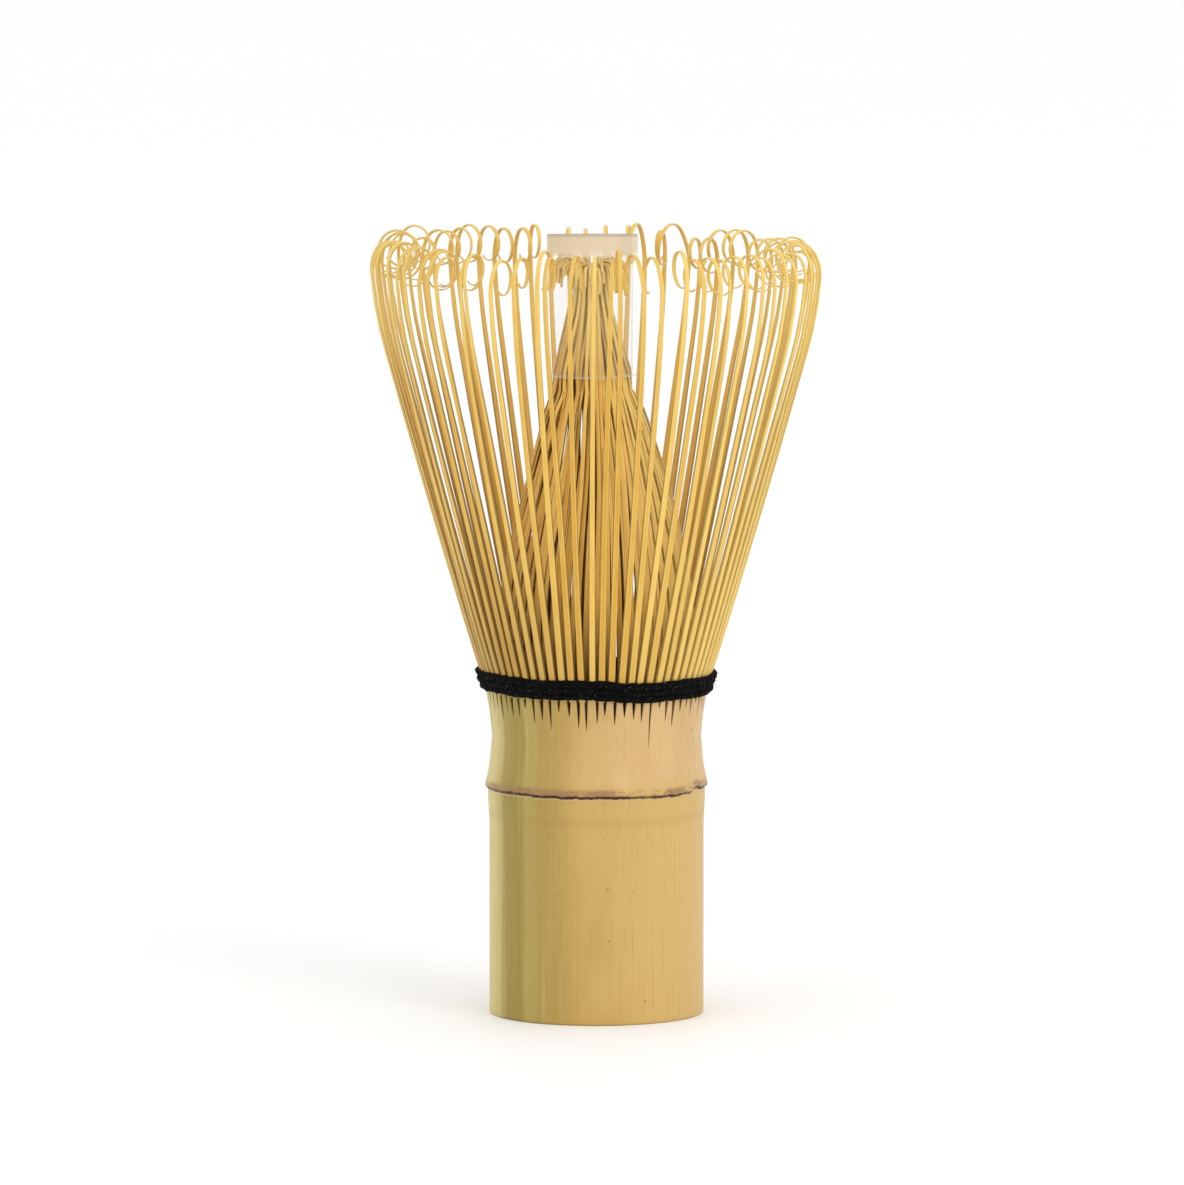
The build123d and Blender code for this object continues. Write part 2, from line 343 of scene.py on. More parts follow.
def tine_material(name, dark, light, edge, back, root_shade_share, cut_shade_share, tip_light_share):
    """Split bamboo, with fibres along each tine and a tone for each one.

    dark to light are the tones, edge is a painted highlight on the rounded edges and back is for the
    inner face. The shares are for painted shade at the roots and on the cut sides, and painted light
    at the tips. All the tines get painted shade low at the brush's left and painted light at its
    right."""
    s = Shader(name, Roughness=0.45, Specular_IOR_Level=0.42)
    across, side, along = s.split(s.attribute("grain", "Vector"))
    tone = s.attribute("tone")
    lane = s.add(s.times(across, 1.1), s.times(tone, 91.0))
    fibre = s.noise(s.join(lane, s.times(side, 0.6), s.times(along, 0.06)),
                    scale=3.2, detail=4, roughness=0.6)
    blotch = s.noise(s.join(s.times(tone, 57.0), 0.0, s.times(along, 0.16)), scale=1.0, detail=2)
    level = s.add(s.times(tone, 0.55), s.times(blotch, 0.5))
    colour = s.mix(s.span(level, 0.2, 0.85), dark, light)
    colour = s.mix(s.span(fibre, 0.5, 0.75, 0.0, 0.38), colour, rgb(150, 104, 38))

    off_middle = s.math("ABSOLUTE", across)
    # Painted highlight along the rounded edges
    colour = s.mix(s.span(off_middle, 0.45, 0.8, 0.0, 0.6), colour, edge)
    colour = s.mix(s.span(side, -0.3, -0.9, 0.0, 0.8), colour, back)
    # Painted shade on the cut sides, fading towards the tips
    cut = s.times(s.span(off_middle, 0.76, 0.93, 0.0, cut_shade_share), s.span(along, 40.0, 58.0, 1.0, 0.3))
    colour = s.mix(cut, colour, rgb(122, 76, 20))
    # Painted shade at the roots
    colour = s.mix(s.span(along, 1.0, 16.0, root_shade_share, 0.0), colour, rgb(112, 72, 26))
    # Painted light at the tips
    colour = s.mix(s.span(along, 42.0, 56.0, 0.0, tip_light_share), colour, rgb(255, 228, 138))

    # Painted shade low at the brush's left
    low = s.span(along, 4.0, 27.0, 1.0, 0.0)
    low_left_shade = s.times(s.span(s.towards(-70), 0.35, 0.95, 0.0, 0.34), low)
    colour = s.mix(low_left_shade, colour, rgb(128, 88, 20))
    # Painted light at the brush's right
    colour = s.mix(s.span(s.towards(75), 0.3, 0.95, 0.0, 0.45), colour, rgb(255, 222, 128))
    s.plug("Base Color", colour)
    s.plug("Roughness", s.span(fibre, 0.3, 0.8, 0.36, 0.6))
    s.bump(fibre, 0.35, 0.06)
    return s.material


def thread_material():
    """Black cotton: matt and a little fluffy, with specks of pale lint."""
    s = Shader("black_thread", Roughness=0.75, Specular_IOR_Level=0.09)
    black, worn = (0.0022, 0.0020, 0.0019, 1), (0.02, 0.019, 0.018, 1)
    faded, pale_lint = (0.006, 0.005, 0.0045, 1), (0.16, 0.155, 0.14, 1)
    point = s.object_point()
    fluff = s.noise(point, scale=5200, detail=4, roughness=0.7)
    patch = s.noise(point, scale=700, detail=2)
    lint = s.noise(point, scale=2600, detail=2)
    colour = s.mix(s.span(fluff, 0.55, 0.8), black, worn)
    colour = s.mix(s.span(patch, 0.45, 0.7, 0.0, 0.5), colour, faded)
    s.plug("Base Color", s.mix(s.span(lint, 0.65, 0.71, 0.0, 0.42), colour, pale_lint))
    s.bump(fluff, 1.0, 0.3)
    return s.material


def film_material():
    """Clear film, milky along its top, and less clear at its cut edges and where it turns away."""
    s = Shader("clear_film", Roughness=0.22, Specular_IOR_Level=0.5, IOR=1.49)
    clear_cover, milky_cover, grazing_cover, rim_cover = 0.045, 0.68, 0.3, 0.6
    point = s.object_point()
    milky = s.span(s.split(point)[2], MILKY_LOW * MM, MILKY_HIGH * MM)
    facing = s.node("ShaderNodeLayerWeight", {"Blend": 0.5}).outputs["Facing"]
    grazing = s.span(facing, 0.7, 1.0, 0.0, grazing_cover)
    rim = s.attribute("rim")
    cover = s.add(s.add(s.times(milky, milky_cover), clear_cover), grazing)
    s.plug("Alpha", s.math("MAXIMUM", cover, s.times(rim, rim_cover)))
    haze = s.noise(s.stretch(point, (260, 260, 90)), detail=2)
    cloud = s.span(haze, 0.35, 0.65)
    sheet = s.mix(cloud, rgb(255, 244, 220), rgb(252, 238, 208))
    cream = s.mix(cloud, rgb(253, 236, 208), rgb(249, 230, 198))
    s.plug("Base Color", s.mix(rim, s.mix(milky, sheet, cream), rgb(206, 196, 180)))
    s.plug("Roughness", s.span(haze, 0.3, 0.7, 0.18, 0.32))
    s.bump(haze, 0.15, 0.1)
    return s.material


def pith_material():
    """The node's partition: pale, papery, with faint rings."""
    s = Shader("bamboo_pith", Roughness=0.72, Specular_IOR_Level=0.2)
    point = s.object_point()
    wave = {"Vector": point, "Scale": 700.0, "Distortion": 6.0, "Detail": 3.0}
    rings = s.node("ShaderNodeTexWave", wave, wave_type="RINGS", rings_direction="Z").outputs["Fac"]
    grain = s.noise(point, scale=1800, detail=4)
    colour = s.mix(s.span(rings, 0.2, 0.9, 0.0, 0.55), rgb(222, 200, 156), rgb(196, 166, 112))
    s.plug("Base Color", s.mix(s.span(grain, 0.55, 0.75, 0.0, 0.4), colour, rgb(150, 118, 74)))
    s.bump(grain, 0.5, 0.15)
    return s.material


CULM = culm_material()
# edge is a painted highlight; the root and cut shares paint shade and the tip share paints light
TINE = tine_material(
    "bamboo_outer_tine", dark=rgb(230, 176, 70), light=rgb(255, 211, 108), edge=rgb(255, 231, 142),
    back=rgb(242, 194, 98), root_shade_share=0.12, cut_shade_share=0.64, tip_light_share=0.25)
CORE = tine_material(
    "bamboo_inner_tine", dark=rgb(222, 165, 66), light=rgb(255, 206, 103), edge=rgb(255, 226, 136),
    back=rgb(238, 186, 98), root_shade_share=0.7, cut_shade_share=0.8, tip_light_share=0.6)
THREAD = thread_material()
FILM_SHEET = film_material()
PITH = pith_material()


# ---------------------------------------------------------------- culm

# The culm's profile as (height, radius), below the scar and from its lip up
BELOW_SCAR = [(0, 14.45), (26.2, 14.45), (28.4, 14.60), (31.5, 14.68), (50, 14.68)]
ABOVE_SCAR = [(20, LIP_R), (30.9, LIP_R), (31.6, 14.87), (32.9, 14.6), (34.4, 14.38), (37.6, 14.1),
              (41, 14.42), (42.4, 14.64), (46, 15.2)]
CLEAR_OF_SCAR = 9.0


def scar_height(angles):
    """The ragged sheath scar's height round the node, with a small peak at the right."""
    from_front = np.mod(angles - FRONT + math.pi, 2 * math.pi) - math.pi
    peak = 0.5 * np.exp(-((from_front - math.radians(66)) / math.radians(4.5)) ** 2)
    slow = 0.07 * np.sin(3 * angles + 1) + 0.05 * np.sin(5 * angles + 2)
    coarse = 0.06 * ring_noise(11, 150, angles)
    fine = 0.035 * ring_noise(12, 420, angles)
    return SCAR_Z + slow + coarse + fine + peak


def culm_radius(angles, heights):
    """The culm's outer radius: not quite round, waisted above the node, stepped at the scar."""
    rise = heights - scar_height(angles)
    share = smooth_step(-0.16, 0.02, rise)
    below = smooth_curve(BELOW_SCAR, heights, 1.6)
    above = smooth_curve(ABOVE_SCAR, heights, 1.4)
    groove = 0.2 * np.exp(-((rise + 0.05) / 0.09) ** 2) * (0.6 + 0.4 * ring_noise(13, 90, angles))
    round_off = 0.03 * np.sin(2 * angles + 0.6) + 0.015 * np.sin(5 * angles)
    ripple = 0.012 * ring_noise(14, 160, angles)
    return below + (above - below) * share - groove + round_off + ripple


def tube_ring(radius, angles, height):
    """Points at these radii, angles and heights."""
    return np.stack([radius * np.cos(angles), radius * np.sin(angles), height], -1)


def culm_piece(name, angles, heights, bore_r, replaced, rounded_foot=False, kerf=0.0, depth=0.0):
    """A closed tube of culm from a grid of angles and heights, with a plain bore.

    kerf paints shade on points of the outer face, and depth sinks them."""
    rows, columns = heights.shape
    outer_r = culm_radius(angles, heights) - depth
    if rounded_foot:
        from_foot = np.clip(FOOT_ROUND - heights, 0, FOOT_ROUND)
        outer_r = outer_r - (FOOT_ROUND - np.sqrt(np.maximum(FOOT_ROUND ** 2 - from_foot ** 2, 0)))
    bore = np.full(columns, bore_r)
    chamfer_width, chamfer_height = 0.25, 0.3
    points = np.concatenate([
        tube_ring(outer_r, angles, heights).reshape(-1, 3),
        tube_ring(bore, angles[-1], heights[-1]),
        tube_ring(bore, angles[0], heights[0] + chamfer_height),
        tube_ring(bore + chamfer_width, angles[0], heights[0]),
    ])
    faces = wall_faces(rows + 3, columns, closed_rows=True)
    rise = heights - scar_height(angles)
    inside = np.zeros((rows, columns))
    if rounded_foot:
        inside[0] = 1.0
    kerf = np.broadcast_to(kerf, heights.shape)
    floats = {}
    for key, outer_face, bore_face in (("scar_rise", rise, CLEAR_OF_SCAR), ("inside", inside, 1.0),
                                       ("kerf", kerf, 0.0)):
        floats[key] = np.concatenate([outer_face.ravel(), np.full(3 * columns, bore_face)])
    piece = make_piece(name, points, faces, CULM, floats)
    put_on(piece, "culm", replaced)


def round_grid(columns, levels):
    """Angles and levels on a grid with this many columns round the culm."""
    return np.meshgrid(np.linspace(0, 2 * math.pi, columns, endpoint=False), levels)


def make_handle():
    foot = FOOT_ROUND * (1 - np.cos(np.linspace(0, math.pi / 2, 7)))
    angles, heights = round_grid(240, np.concatenate([foot, np.linspace(1, HANDLE_TOP, 40)]))
    culm_piece("handle_culm", angles, heights, BORE_R, "handle", rounded_foot=True)


def make_node_ring():
    """The node. Its grid's rows crowd round the scar, so the step there is crisp."""
    under, over = np.linspace(-1, -0.17, 12), np.linspace(0.18, 1, 10)
    angles, shares = round_grid(900, np.concatenate([under, np.linspace(-0.15, 0.15, 19), over]))
    line = scar_height(angles)
    reach = np.where(shares < 0, line - HANDLE_TOP, NODE_TOP - line)
    culm_piece("node_scar_ring", angles, line + shares * reach, NODE_BORE_R, "node_ring")


def make_collar():
    """The root collar. Its grid's columns follow each kerf's sides, so the kerfs are sharp."""
    rng = np.random.default_rng(21)
    centres = np.arange(OUTER_COUNT) * TINE_PITCH + rng.normal(0, math.radians(0.35), OUTER_COUNT)
    tips = BINDING_LOW - (1.3 + 3.0 * rng.uniform(0, 1, OUTER_COUNT) ** 1.4)
    hairline = rng.uniform(0, 1, OUTER_COUNT) < 0.16
    tips = np.where(hairline, tips - rng.uniform(0.6, 2.6, OUTER_COUNT), tips)
    half_width = np.where(hairline, 0.17, rng.uniform(0.22, 0.36, OUTER_COUNT)) / COLLAR_TOP_R
    depths = np.where(hairline, 0.35, 0.9)
    kerf_edge_shade_share, edge_round, tine_crown = 0.4, 0.05, (0.3, 0.6, 0.6, 0.3)
    zero = np.zeros(OUTER_COUNT)
    next_centres = np.append(centres[1:], centres[0] + 2 * math.pi)
    fine_above = 38
    coarse_levels = np.linspace(NODE_TOP, fine_above, 14, endpoint=False)
    levels = np.concatenate([coarse_levels, np.linspace(fine_above, COLLAR_TOP, 46)])
    angle_rows, kerf_rows, depth_rows = [], [], []
    for level in levels:
        opened = np.clip((level - tips) / (COLLAR_TOP - tips), 0, 1)
        half = half_width * opened ** 0.75
        left, right = centres + half, next_centres - np.roll(half, -1)
        between = [left + (right - left) * share for share in (0.12, 0.37, 0.63, 0.88)]
        sides = [centres - half, centres - half * 0.55, centres + half * 0.55, left]
        angle_rows.append(np.stack(sides + between, -1).ravel())
        dark = np.where(opened > 0, 1.0, 0.0)
        # Painted shade in each kerf and, fainter, on its edges
        kerf_edge_shade = dark * kerf_edge_shade_share
        kerf_rows.append(np.stack([kerf_edge_shade, dark, dark, kerf_edge_shade, zero, zero, zero, zero], -1).ravel())
        sunk = depths * np.clip(opened * 3.5, 0, 1)
        rounding = edge_round * opened
        crown = [-rounding * share for share in tine_crown]
        depth_rows.append(np.stack([rounding, sunk, sunk, rounding, *crown], -1).ravel())
    angles = np.array(angle_rows)
    heights = np.repeat(levels[:, None], angles.shape[1], 1)
    culm_piece("root_collar_kerfed", angles, heights, BORE_R, "root_collar",
               kerf=np.array(kerf_rows), depth=np.array(depth_rows))


def make_diaphragm():
    """The partition inside the node: a domed, slightly crumpled disc."""
    rim = NODE_BORE_R - 0.03
    thickness, dome, clearance = 1.35, 0.55, 0.25
    rng = np.random.default_rng(31)
    shares = np.linspace(0.02, 1, 24)
    turn, share = round_grid(96, shares)
    rings, columns = turn.shape
    crumple = 0.08 * np.sin(5 * turn + 4 * share) * share * (1 - share) * 4
    crumple = crumple + rng.normal(0, 0.012, share.shape)
    low = DIAPHRAGM_LOW + clearance + dome * (1 - share ** 2) + crumple
    top = tube_ring(rim * share, turn, low + thickness).reshape(-1, 3)
    under = tube_ring(rim * share, turn, low)[::-1].reshape(-1, 3)
    faces = wall_faces(2 * rings, columns)
    faces += [tuple(range(columns)), tuple(range((2 * rings - 1) * columns, 2 * rings * columns))]
    piece = make_piece("node_partition", np.concatenate([top, under]), faces, PITH)
    put_on(piece, "culm", "node_diaphragm")


make_handle()
make_node_ring()
make_collar()
make_diaphragm()


# ---------------------------------------------------------------- tubes and strips

def sweep(path, across, outward, section, widths, heights):
    """Rings of a section along a path: (points, faces), with both ends closed."""
    rings = len(path)
    sides = len(section)
    flat = np.array(section)
    points = (
        path[:, None, :]
        + across[:, None, :] * (flat[None, :, 0] * widths[:, None])[..., None]
        + outward[:, None, :] * (flat[None, :, 1] * heights[:, None])[..., None]
    ).reshape(-1, 3)
    faces = wall_faces(rings, sides)
    faces.append(tuple(range(sides)))
    faces.append(tuple(range((rings - 1) * sides, rings * sides)))
    return points, faces


def side_frames(path, across):
    """Unit (across, outward) at right angles to a path, given a rough sideways direction."""
    ahead = np.gradient(path, axis=0)
    ahead /= np.linalg.norm(ahead, axis=1, keepdims=True)
    outward = np.cross(across, ahead)
    outward /= np.linalg.norm(outward, axis=1, keepdims=True)
    return np.cross(ahead, outward), outward


def gather(parts):
    """Joins several (points, faces, floats, vectors) into one."""
    points, faces, floats, vectors, start = [], [], {}, {}, 0
    for some_points, some_faces, some_floats, some_vectors in parts:
        points.append(some_points)
        faces.extend([tuple(v + start for v in face) for face in some_faces])
        start += len(some_points)
        for key, values in some_floats.items():
            floats.setdefault(key, []).append(values)
        for key, values in some_vectors.items():
            vectors.setdefault(key, []).append(values)
    floats = {key: np.concatenate(values) for key, values in floats.items()}
    vectors = {key: np.concatenate(values) for key, values in vectors.items()}
    return np.concatenate(points), faces, floats, vectors


# ---------------------------------------------------------------- tines

# A tine's section in half widths and half heights, with the bamboo's skin outward
TINE_SECTION = [(-1, -0.55), (-1, 0.5), (-0.72, 0.92), (0, 1.08), (0.72, 0.92), (1, 0.5), (1, -0.55),
                (0.7, -1), (-0.7, -1)]


def walk(start_r, knots, places):
    """Radius and height at places along a path that starts at TINE_LOW.

    knots are (place, lean): the lean is outward, in degrees from vertical."""
    at, lean = np.array(knots).T
    fine = np.arange(0, places[-1] + 2 * CURVE_STEP, CURVE_STEP)
    turn = np.radians(np.interp(fine, at, lean))
    radius = start_r + np.concatenate([[0], np.cumsum(np.sin(turn[:-1]) * CURVE_STEP)])
    height = TINE_LOW + np.concatenate([[0], np.cumsum(np.cos(turn[:-1]) * CURVE_STEP)])
    return np.interp(places, fine, radius), np.interp(places, fine, height)


def strip(radius, height, azimuth, drift, places, widths, thick, roll, tone, shift=0.0):
    """One tine as (points, faces, floats, vectors).

    drift carries it round the whisk and shift carries it along x, in millimetres."""
    turn = azimuth + drift / np.maximum(radius, 3.0)
    path = np.stack([radius * np.cos(turn) + shift, radius * np.sin(turn), height], -1)
    sideways = np.stack([-np.sin(turn), np.cos(turn), np.zeros_like(turn)], -1)
    across, outward = side_frames(path, sideways)
    cos, sin = np.cos(roll)[:, None], np.sin(roll)[:, None]
    across, outward = across * cos + outward * sin, outward * cos - across * sin
    points, faces = sweep(path, across, outward, TINE_SECTION, widths / 2, thick / 2)
    section = np.tile(np.array(TINE_SECTION), (len(path), 1))
    along = np.repeat(places, len(TINE_SECTION))
    grain = np.concatenate([section, along[:, None]], 1)
    return points, faces, {"tone": np.full(len(points), tone)}, {"grain": grain}


# A tine's mean length up to its curl or hook, and the arcs that follow
OUTER_STEM = 58.4
SHOULDER_ARC, LOOP_ARC, CLOSING_R = 3.2, 6.9, 2.6
INNER_STEM = 57.6
BEND_ARC, HOOK_ARC = 1.7, 1.3


def outer_tine(rng, azimuth):
    """Leans out from under the thread, runs nearly straight, and ends in a curl of about one turn.

    It is longer at the front, and its curl closes by another 90 to 122 degrees after the loop."""
    curl = float(np.clip(rng.normal(1.0, 0.08), 0.82, 1.18))
    lean = rng.normal(0, 0.28)
    length = OUTER_STEM + (rng.normal(0, 0.4) + 0.8 * math.cos(azimuth - FRONT + 0.5))
    close = rng.uniform(90, 122)
    closing_arc = CLOSING_R * curl * math.radians(close)
    stem, shoulder, loop, end = np.cumsum([length, SHOULDER_ARC * curl, LOOP_ARC * curl, closing_arc])
    knots = [(0, 15), (1, 20.5), (2.5, 20), (6, 17.4 + lean), (34, 15.9 + lean), (48, 15.7 + lean),
             (stem, 5), (shoulder, -26), (loop, -205), (end, -205 - close)]
    rising = [np.linspace(0, 6, 5), np.linspace(10, 48, 9), np.linspace(51, stem, 3)]
    places = np.concatenate([*rising, np.linspace(stem, end, 42)[1:]])
    radius, height = walk(OUTER_ROOT_R, knots, places)
    flight = np.clip(places / stem, 0, 1)
    side = rng.normal(0, 0.5) * flight ** 1.6 + rng.normal(0, 0.10) * np.sin(flight * math.pi * 1.3)
    into_curl = np.clip(places - stem, 0, None)
    side = side + np.tan(math.radians(rng.normal(0, 3.6))) * into_curl
    widths = np.interp(places, [0, 3, 30, stem, loop, end], [0.97, 0.94, 0.80, 0.57, 0.48, 0.26])
    widths = widths * rng.uniform(0.93, 1.07)
    thick = np.interp(places, [0, 20, 50, shoulder, end], [0.8, 0.55, 0.36, 0.28, 0.14])
    roll = np.radians(rng.normal(0, 7) * flight + rng.normal(0, 4) * into_curl / 20)
    turned = azimuth + rng.normal(0, math.radians(0.25))
    return strip(radius, height, turned, side, places, widths, thick, roll, tone=rng.uniform(0, 1))


def inner_tine(rng, azimuth):
    """Rises inside the outer ones, leans in to the sleeve, and ends in a hook that falls outward."""
    lean = rng.normal(0, 0.5)
    length = INNER_STEM + rng.normal(0, 0.5)
    depth = rng.uniform(0, 1) ** 1.5
    hook = rng.uniform(1.1, 1.6)
    arcs = [BEND_ARC * hook, HOOK_ARC * hook, rng.uniform(0.3, 2.2)]
    stem, bend, over, end = np.cumsum([length, *arcs])
    knots = [(0, 7), (8, 0), (20, -14 + lean), (38, -17.0 + lean - depth), (43, -14), (50, -15),
             (55, -9), (stem, 8), (bend, 95), (over, 165), (end, 178)]
    rising = [np.linspace(0, 47, 18), np.linspace(50, stem, 5)]
    places = np.concatenate([*rising, np.linspace(stem, end, 16)[1:]])
    radius, height = walk(INNER_ROOT_R, knots, places)
    flight = np.clip(places / stem, 0, 1)
    swirl = math.radians(10 + rng.normal(0, 5)) * smooth_step(0.1, 0.95, flight) * 5.0
    side = swirl + rng.normal(0, 0.2) * np.sin(flight * math.pi * 1.7)
    radius = radius - depth * 1.6 * smooth_step(0.5, 0.95, flight)
    in_sleeve = height > SLEEVE_LOW - 3
    radius = np.clip(radius, 0.5, np.where(in_sleeve, 5.3, np.inf))
    widths = np.interp(places, [0, 18, 34, 44, stem, end], [0.70, 0.68, 0.61, 0.53, 0.44, 0.30])
    thick = np.interp(places, [0, 20, 45, end], [0.6, 0.42, 0.30, 0.20])
    roll = np.radians(rng.normal(0, 14)) * flight
    turned = azimuth + rng.normal(0, math.radians(0.6))
    return strip(radius, height, turned, side, places, widths, thick, roll, tone=rng.uniform(0, 1),
                 shift=SLEEVE_SHIFT * smooth_step(0.45, 0.9, flight))


def make_tines(kind, make, material, piece_name, seed, count):
    """One piece for each sector, in place of the sector's own body."""
    rng = np.random.default_rng(seed)
    pitch = 2 * math.pi / SECTORS / count
    for n in range(SECTORS):
        first = 2 * math.pi * n / SECTORS - pitch * (count - 1) / 2
        points, faces, floats, vectors = gather([make(rng, first + pitch * k) for k in range(count)])
        body = f"{kind}_tines_{n + 1:02d}"
        name = f"{piece_name}_{n + 1:02d}"
        piece = make_piece(name, points, faces, material, floats, vectors, crease=60)
        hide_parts(body)
        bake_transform(piece)


make_tines("outer", outer_tine, TINE, "curled_tines", 41, OUTER_PER_SECTOR)
make_tines("inner", inner_tine, CORE, "gathered_tines", 42, INNER_PER_SECTOR)


# ---------------------------------------------------------------- binding

THREAD_SIDES = 10
STEPS_PER_TWIST = 9


def round_section(sides):
    turns = np.linspace(0, 2 * math.pi, sides, endpoint=False)
    return np.stack([np.cos(turns), np.sin(turns)], -1)


def hoop(radius, height, out, thick_out, thick_up):
    """A closed tube round the whisk, with its centre's radius and height at each unit vector out.

    thick_out and thick_up are its half sizes."""
    section = round_section(THREAD_SIDES)
    up = np.tile([0.0, 0.0, 1.0], (len(out), 1))
    points = (
        out[:, None, :] * (radius[:, None] + section[None, :, 0] * thick_out)[..., None]
        + up[:, None, :] * (height[:, None] + section[None, :, 1] * thick_up)[..., None]
    ).reshape(-1, 3)
    return points, wall_faces(len(out), THREAD_SIDES, closed_rows=True), {}, {}


def twisted_ring(radius, height, size, wave, seed, twist=1.25, plies=2):
    """A ring of twisted thread: plies wound round a core that waves and bulges over each tine.

    size is half the thread's width, and twist is the length of one turn of the plies."""
    rng = np.random.default_rng(seed)
    turns = round(2 * math.pi * radius / twist)
    angle = np.linspace(0, 2 * math.pi, turns * STEPS_PER_TWIST, endpoint=False)
    ring_r = radius + 0.07 * np.cos(OUTER_COUNT * angle) + 0.07 * ring_noise(seed + 1, 90, angle)
    ring_z = height + wave(angle) + 0.09 * ring_noise(seed + 2, 110, angle)
    out = np.stack([np.cos(angle), np.sin(angle), np.zeros(len(angle))], -1)
    parts = [hoop(ring_r, ring_z, out, size * 0.66, size * 1.18)]
    swing = size * 0.5
    for ply in range(plies):
        phase = turns * angle + 2 * math.pi * ply / plies + rng.uniform(0, 0.5)
        thick = size * (0.60 + 0.13 * ring_noise(seed + 3 + ply, 140, angle))[:, None]
        ply_r = ring_r + swing * 0.8 * np.cos(phase)
        ply_z = ring_z + swing * np.sin(phase)
        parts.append(hoop(ply_r, ply_z, out, thick * 0.9, thick))
    return parts


def band_wave(angle):
    """The band rides up at the front left and down at the front right."""
    return -0.24 * np.tanh(5 * np.sin(angle - FRONT - 0.18)) + 0.07 * np.sin(7 * angle + 0.7)


def weave_wave(angle):
    return 0.1 * np.sin(9 * angle)


def make_thread(name, parts, replaced=None):
    points, faces, _, _ = gather(parts)
    put_on(make_piece(name, points, faces, THREAD), "culm", replaced)


def make_binding():
    """Three courses round the outer tines, and one woven between them and the inner tines."""
    course_size, woven_size, woven_z = 0.44, 0.4, 44.75
    for n, name in enumerate(("lower", "middle", "upper")):
        low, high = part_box(f"binding_thread_{name}")
        radius = high.x / MM - 0.42
        ring = twisted_ring(radius, (low.z + high.z) / 2 / MM, course_size, band_wave, 50 + 10 * n)
        make_thread(f"wound_thread_{name}", ring, f"binding_thread_{name}")
    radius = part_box("binding_thread_inner")[1].x / MM - 0.3
    ring = twisted_ring(radius, woven_z, woven_size, weave_wave, 90)
    make_thread("woven_thread_inner", ring, "binding_thread_inner")


def make_fibres():
    """Loose ends of cotton that stand off the band."""
    rng = np.random.default_rng(97)
    count, steps, half_width = 150, 6, 0.018
    share = np.linspace(0, 1, steps)[:, None]
    width = np.full(steps, half_width)
    parts = []
    for _ in range(count):
        angle = rng.uniform(0, 2 * math.pi)
        height = rng.uniform(BINDING_LOW + 0.1, BINDING_HIGH - 0.1)
        radius = 15.7 + (height - BINDING_LOW) * 0.22
        out = np.array([math.cos(angle), math.sin(angle), 0])
        start = radius * out + (0, 0, height + band_wave(angle))
        aside = np.array([-math.sin(angle), math.cos(angle), 0]) * rng.normal(0, 1)
        reach = rng.uniform(0.2, 0.55)
        bend = np.array([0, 0, rng.normal(0, 0.6)])
        path = start + reach * share * (out * 0.9 + aside * share + bend * share ** 2)
        sideways = np.cross(out, [0, 0, 1.0]) + 1e-3
        across, outward = side_frames(path, np.tile(sideways, (steps, 1)))
        parts.append((*sweep(path, across, outward, round_section(4), width, width), {}, {}))
    make_thread("thread_fibres", parts)


def make_knot():
    """The tie-off at the back: two plies of thread laid up across the courses, thin at both ends."""
    low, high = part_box("binding_knot")
    steps = 40
    share = np.linspace(0, 1, steps)
    width = 0.2 * np.sin(np.clip(share * 1.1, 0, 1) * math.pi * 0.9 + 0.25) + 0.03
    parts = []
    for ply in range(2):
        phase = share * 14 + ply * math.pi
        path = np.stack([
            0.30 * np.sin(share * math.pi * 1.5) + 0.14 * np.cos(phase),
            low.y / MM + 0.25 + share * (high.y - low.y) / MM * 0.75 + 0.12 * np.sin(phase),
            low.z / MM - 0.3 + share * ((high.z - low.z) / MM + 0.7),
        ], -1)
        across, outward = side_frames(path, np.tile([1.0, 0.0, 0.0], (steps, 1)))
        parts.append((*sweep(path, across, outward, round_section(8), width, width), {}, {}))
    make_thread("thread_tie_off", parts, "binding_knot")


make_binding()
make_fibres()
make_knot()


# ---------------------------------------------------------------- film sleeve

FILM = 0.10
CUT_SLANT = 1.25
FOOT_GAP, TOP_GAP = 0.1, 0.05
ROLL_R, FLAP_R = 5.75, 6.2
ROLL_START, ROLL_TURN, FLAP_TURN = math.radians(310), math.radians(285), math.radians(115)


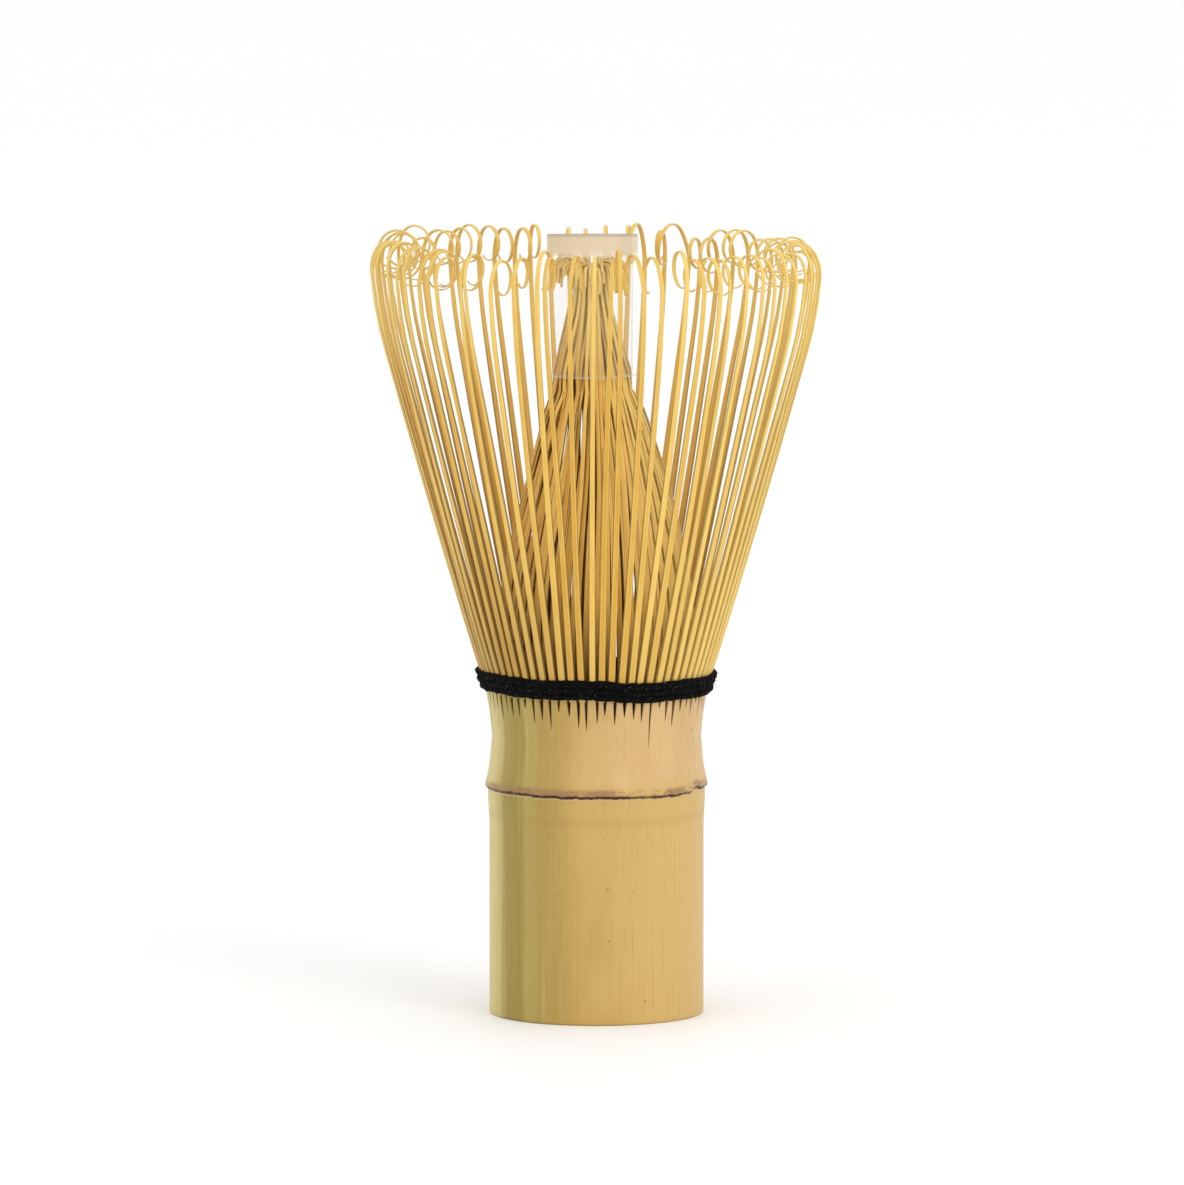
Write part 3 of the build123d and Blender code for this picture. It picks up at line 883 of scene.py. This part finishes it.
def make_sleeve():
    """A sheet rolled once round and a bit more, cut lower behind, its free end springing off."""
    turn_at = ROLL_START + ROLL_TURN
    flap_centre = np.array([math.cos(turn_at), math.sin(turn_at)]) * (ROLL_R - FLAP_R)
    along = np.linspace(0, ROLL_TURN + FLAP_TURN, 150)
    levels = np.concatenate([[0, 0.007], np.linspace(0.03, 0.97, 32), [0.993, 1]])
    rows, columns = len(levels), len(along)
    angle = ROLL_START + along
    outward = np.stack([np.cos(angle), np.sin(angle)], -1)
    slant = CUT_SLANT * (1 + np.sin(angle)) / 2
    foot = SLEEVE_LOW + FOOT_GAP
    points = []
    for side in (FILM / 2, -FILM / 2):
        for level in levels:
            wobble = 0.05 * np.sin(3 * angle + 2.5 * level) * level
            on_roll = outward * (ROLL_R + side + wobble)[:, None]
            on_flap = flap_centre + outward * (FLAP_R + side + wobble)[:, None]
            place = np.where((along <= ROLL_TURN)[:, None], on_roll, on_flap)
            height = foot + level * (SLEEVE_HIGH - SLEEVE_LOW - (FOOT_GAP + TOP_GAP) - slant)
            points.append(np.concatenate([place + (SLEEVE_SHIFT, 0), height[:, None]], 1))
    other = rows * columns
    faces = wall_faces(rows, columns, closed_columns=False)
    faces += wall_faces(rows, columns, closed_columns=False, first=other)
    for j in range(columns - 1):
        for row in (0, (rows - 1) * columns):
            faces.append((row + j, row + j + 1, other + row + j + 1, other + row + j))
    for i in range(rows - 1):
        for j in (0, columns - 1):
            low, high = i * columns + j, (i + 1) * columns + j
            faces.append((low, high, other + high, other + low))
    rim = np.interp(np.arange(rows), [1, 2, rows - 3, rows - 2], [0.4, 0, 0, 1.0])
    rim = np.tile(np.repeat(rim, columns), 2)
    piece = make_piece("rolled_film", np.concatenate(points), faces, FILM_SHEET, {"rim": rim})
    put_on(piece, "film_sleeve", "film_sleeve")


make_sleeve()


# ---------------------------------------------------------------- stage, light and camera

# Places and sizes in metres
FLOOR_HALF = 30.0
WHITE = (1, 1, 1, 1)
SKY_STRENGTH = 1.05
WHISK_MIDDLE = (0, 0, 0.06)
CAMERA_EYE = Vector((-0.0006, -2.25, 0.3186))
CAMERA_TARGET = Vector((-0.0006, 0, 0.0570))
FRAME_WIDTH = 0.1598
SENSOR_MM = 36


def aim(holder, place, target):
    holder.location = place
    holder.rotation_euler = (Vector(target) - Vector(place)).to_track_quat("-Z", "Y").to_euler()


def make_floor():
    floor = Shader("pale_floor", Roughness=0.6, Specular_IOR_Level=0.2)
    haze = floor.noise(floor.object_point(), scale=3, detail=2)
    floor.plug("Base Color", floor.mix(haze, (0.92, 0.92, 0.918, 1), (0.94, 0.94, 0.938, 1)))
    mesh = bpy.data.meshes.new("floor")
    corners = [(FLOOR_HALF * x, FLOOR_HALF * y, 0) for x, y in ((-1, -1), (1, -1), (1, 1), (-1, 1))]
    mesh.from_pydata(corners, [], [(0, 1, 2, 3)])
    mesh.materials.append(floor.material)
    link("floor", mesh)


def area_light(name, place, size, power, colour):
    light = bpy.data.lights.new(name, "AREA")
    light.size = size
    light.energy = power
    light.color = colour
    aim(link(name, light), place, WHISK_MIDDLE)


def make_light():
    """An even white surround, with a soft key from the front right and a weak fill at the left."""
    world = bpy.data.worlds.new("studio")
    world.use_nodes = True
    world.node_tree.nodes["Background"].inputs["Color"].default_value = WHITE
    world.node_tree.nodes["Background"].inputs["Strength"].default_value = SKY_STRENGTH
    bpy.context.scene.world = world
    area_light("key", (0.75, -0.95, 0.85), 0.7, 4.5, (1.0, 0.985, 0.96))
    area_light("fill", (-0.9, -0.8, 0.45), 0.9, 1.2, (0.96, 0.99, 1.0))
    bpy.context.scene.view_settings.view_transform = "Standard"


def make_camera():
    """A long lens, from a little above the whisk, with FRAME_WIDTH across the frame at its axis."""
    camera = bpy.data.cameras.new("camera")
    camera.sensor_width = SENSOR_MM
    camera.lens = SENSOR_MM * (CAMERA_TARGET - CAMERA_EYE).length / FRAME_WIDTH
    camera.clip_start = 0.05
    camera.clip_end = 100
    holder = link("camera", camera)
    aim(holder, CAMERA_EYE, CAMERA_TARGET)
    bpy.context.scene.camera = holder


make_floor()
make_light()
make_camera()
